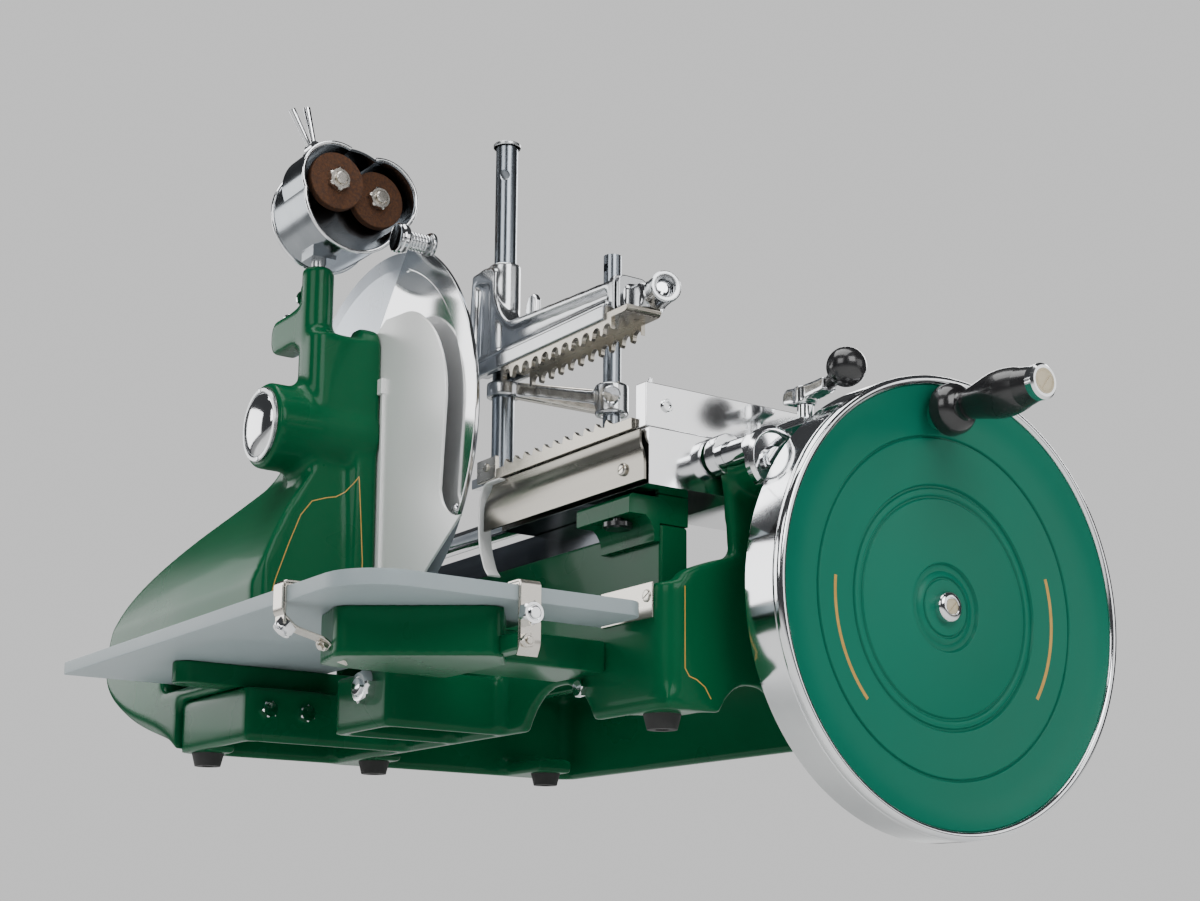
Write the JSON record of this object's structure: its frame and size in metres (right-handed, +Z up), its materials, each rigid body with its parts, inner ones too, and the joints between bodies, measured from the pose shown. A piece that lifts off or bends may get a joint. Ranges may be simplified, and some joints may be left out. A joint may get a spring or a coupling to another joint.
{
  "type": "hand crank meat slicer",
  "caption": "Hand cranked meat slicer with a flywheel drive, round knife, sliding carriage with toothed jaws, receiving tray and knife sharpener.",
  "frame": {"origin": "middle of the four hold-down bolts, on the plane of the feet", "axes": "+X towards the flywheel, +Y away from the slice tray, +Z up"},
  "size_m": [0.9452, 0.684, 0.7017],
  "materials": {
    "base_casting": "gloss enamel",
    "foot_1": "matt",
    "foot_2": "matt",
    "foot_3": "matt",
    "foot_4": "matt",
    "foot_5": "matt",
    "column_casting": "gloss enamel",
    "knife_cap": "satin",
    "knife": "mirror polished",
    "knife_shaft_rod": "ground steel",
    "knife_guard": "mirror polished",
    "guard_stay": "ground steel",
    "deflector": "satin",
    "flywheel_rim": "polished chrome",
    "flywheel_disc": "gloss enamel",
    "flywheel_axle": "ground steel",
    "hub_cap": "polished chrome",
    "crank_pin": "polished chrome",
    "crank_grip": "black gloss",
    "bevel_pinion": "machined",
    "bevel_gear": "machined",
    "cross_shaft": "ground steel",
    "crank_disc": "machined",
    "bed_rail": "gloss enamel",
    "slide_bar": "ground steel",
    "rear_rail": "ground steel",
    "guide_rod": "polished chrome",
    "rod_collar": "polished chrome",
    "stop_block": "gloss enamel",
    "lock_knob": "black gloss",
    "carriage_body": "mirror polished",
    "carriage_apron": "satin",
    "lever_bracket": "polished chrome",
    "feed_table": "satin",
    "lower_jaw": "ground steel",
    "jaw_post": "polished chrome",
    "guide_post": "polished chrome",
    "jaw_arm": "satin",
    "upper_teeth": "mirror polished",
    "guide_link": "satin",
    "jaw_clamp": "polished chrome",
    "release_arm": "polished chrome",
    "release_knob": "black gloss",
    "tray": "satin",
    "tray_bracket": "gloss enamel",
    "tray_arm": "gloss enamel",
    "tray_support": "gloss enamel",
    "tray_clip_1": "polished chrome",
    "tray_clip_2": "polished chrome",
    "wear_plate": "satin",
    "sharpener_stem": "ground steel",
    "sharpener_cup": "satin",
    "stone_1": "matt grit",
    "stone_spindle_1": "polished chrome",
    "stone_2": "matt grit",
    "stone_spindle_2": "polished chrome",
    "sharpener_lever_1": "polished chrome",
    "sharpener_lever_2": "polished chrome",
    "socket_screw": "polished chrome",
    "guard_knob": "polished chrome"
  },
  "bodies": {
    "frame": {"base_casting": "base_casting", "foot_1": "foot_1", "foot_2": "foot_2", "foot_3": "foot_3", "foot_4": "foot_4", "foot_5": "foot_5", "column_casting": "column_casting", "knife_cap": "knife_cap", "knife_guard": "knife_guard", "guard_stay": "guard_stay", "deflector": "deflector", "bed_rail": "bed_rail", "slide_bar": "slide_bar", "rear_rail": "rear_rail", "guide_rod": "guide_rod", "rod_collar": "rod_collar", "stop_block": "stop_block", "tray": "tray", "tray_bracket": "tray_bracket", "tray_arm": "tray_arm", "tray_support": "tray_support", "tray_clip_1": "tray_clip_1", "tray_clip_2": "tray_clip_2", "wear_plate": "wear_plate"},
    "knife_unit": {"knife": "knife", "knife_shaft_rod": "knife_shaft_rod"},
    "flywheel": {"flywheel_rim": "flywheel_rim", "flywheel_disc": "flywheel_disc", "flywheel_axle": "flywheel_axle", "hub_cap": "hub_cap", "crank_pin": "crank_pin", "bevel_pinion": "bevel_pinion"},
    "grip": {"crank_grip": "crank_grip"},
    "cross_drive": {"bevel_gear": "bevel_gear", "cross_shaft": "cross_shaft", "crank_disc": "crank_disc"},
    "carriage": {"carriage_body": "carriage_body", "carriage_apron": "carriage_apron", "lever_bracket": "lever_bracket"},
    "feed": {"feed_table": "feed_table", "lower_jaw": "lower_jaw", "jaw_post": "jaw_post", "guide_post": "guide_post"},
    "upper_jaw": {"jaw_arm": "jaw_arm", "upper_teeth": "upper_teeth", "guide_link": "guide_link"},
    "clamp_lever": {"jaw_clamp": "jaw_clamp"},
    "release": {"release_arm": "release_arm", "release_knob": "release_knob"},
    "sharpener_post": {"sharpener_stem": "sharpener_stem"},
    "sharpener_head": {"sharpener_cup": "sharpener_cup"},
    "stone_a": {"stone_1": "stone_1", "stone_spindle_1": "stone_spindle_1"},
    "stone_b": {"stone_2": "stone_2", "stone_spindle_2": "stone_spindle_2"},
    "finger_a": {"sharpener_lever_1": "sharpener_lever_1"},
    "finger_b": {"sharpener_lever_2": "sharpener_lever_2"},
    "socket_clamp": {"socket_screw": "socket_screw"},
    "guard_bolt": {"guard_knob": "guard_knob"},
    "rail_lock": {"lock_knob": "lock_knob"}
  },
  "joints": [
    {"name": "flywheel_spin", "type": "hinge", "parent": "frame", "child": "flywheel", "pos_m": [0.35, 0.11, 0.105], "axis": [1, 0, 0], "continuous": true},
    {"name": "grip_spin", "type": "hinge", "parent": "flywheel", "child": "grip", "pos_m": [0.4, 0.1, 0.263], "axis": [1, 0, 0], "continuous": true},
    {"name": "knife_spin", "type": "hinge", "parent": "frame", "child": "knife_unit", "pos_m": [-0.155, -0.145, 0.305], "axis": [0, 1, 0], "continuous": true},
    {"name": "cross_spin", "type": "hinge", "parent": "frame", "child": "cross_drive", "pos_m": [0.03, 0.06, 0.105], "axis": [0, 1, 0], "continuous": true},
    {"name": "carriage_slide", "type": "slide", "parent": "frame", "child": "carriage", "axis": [1, 0, 0], "range_m": [-0.23, 0]},
    {"name": "feed_slide", "type": "slide", "parent": "carriage", "child": "feed", "axis": [0, 1, 0], "range_m": [0, 0.1]},
    {"name": "jaw_lift", "type": "slide", "parent": "feed", "child": "upper_jaw", "axis": [0, 0, 1], "range_m": [-0.045, 0.1]},
    {"name": "jaw_clamp_turn", "type": "hinge", "parent": "upper_jaw", "child": "clamp_lever", "pos_m": [0.04, -0.098, 0.372], "axis": [0, 1, 0], "range_deg": [0, 60]},
    {"name": "release_turn", "type": "hinge", "parent": "carriage", "child": "release", "pos_m": [0.288, 0.004, 0.275], "axis": [0, 0, 1], "range_deg": [-75, 0]},
    {"name": "sharpener_lift", "type": "slide", "parent": "frame", "child": "sharpener_post", "axis": [0, 0, 1], "range_m": [0, 0.035]},
    {"name": "sharpener_swing", "type": "hinge", "parent": "sharpener_post", "child": "sharpener_head", "pos_m": [-0.142, -0.222, 0.475], "axis": [0, 0, 1], "range_deg": [-90, 90]},
    {"name": "stone_a_spin", "type": "hinge", "parent": "sharpener_head", "child": "stone_a", "pos_m": [-0.11, -0.223, 0.5365], "axis": [1, 0, 0], "continuous": true},
    {"name": "stone_b_spin", "type": "hinge", "parent": "sharpener_head", "child": "stone_b", "pos_m": [-0.12, -0.175, 0.5327], "axis": [1, 0, 0], "continuous": true},
    {"name": "finger_a_turn", "type": "hinge", "parent": "sharpener_head", "child": "finger_a", "pos_m": [-0.15, -0.23, 0.581], "axis": [1, 0, 0], "range_deg": [0, 15]},
    {"name": "finger_b_turn", "type": "hinge", "parent": "sharpener_head", "child": "finger_b", "pos_m": [-0.143, -0.23, 0.581], "axis": [1, 0, 0], "range_deg": [-30, 20]},
    {"name": "socket_clamp_turn", "type": "hinge", "parent": "frame", "child": "socket_clamp", "pos_m": [-0.165, -0.222, 0.438], "axis": [1, 0, 0], "range_deg": [0, 300]},
    {"name": "guard_bolt_turn", "type": "hinge", "parent": "frame", "child": "guard_bolt", "pos_m": [-0.055, -0.17, 0.473], "axis": [0, 1, 0], "range_deg": [0, 300]},
    {"name": "rail_lock_turn", "type": "hinge", "parent": "frame", "child": "rail_lock", "pos_m": [0.208, -0.124, 0.165], "axis": [0, 0, 1], "range_deg": [0, 300]}
  ],
  "couplings": [
    {"joint": "knife_spin", "follows": "flywheel_spin", "ratio": 3},
    {"joint": "cross_spin", "follows": "flywheel_spin", "ratio": -0.5}
  ]
}
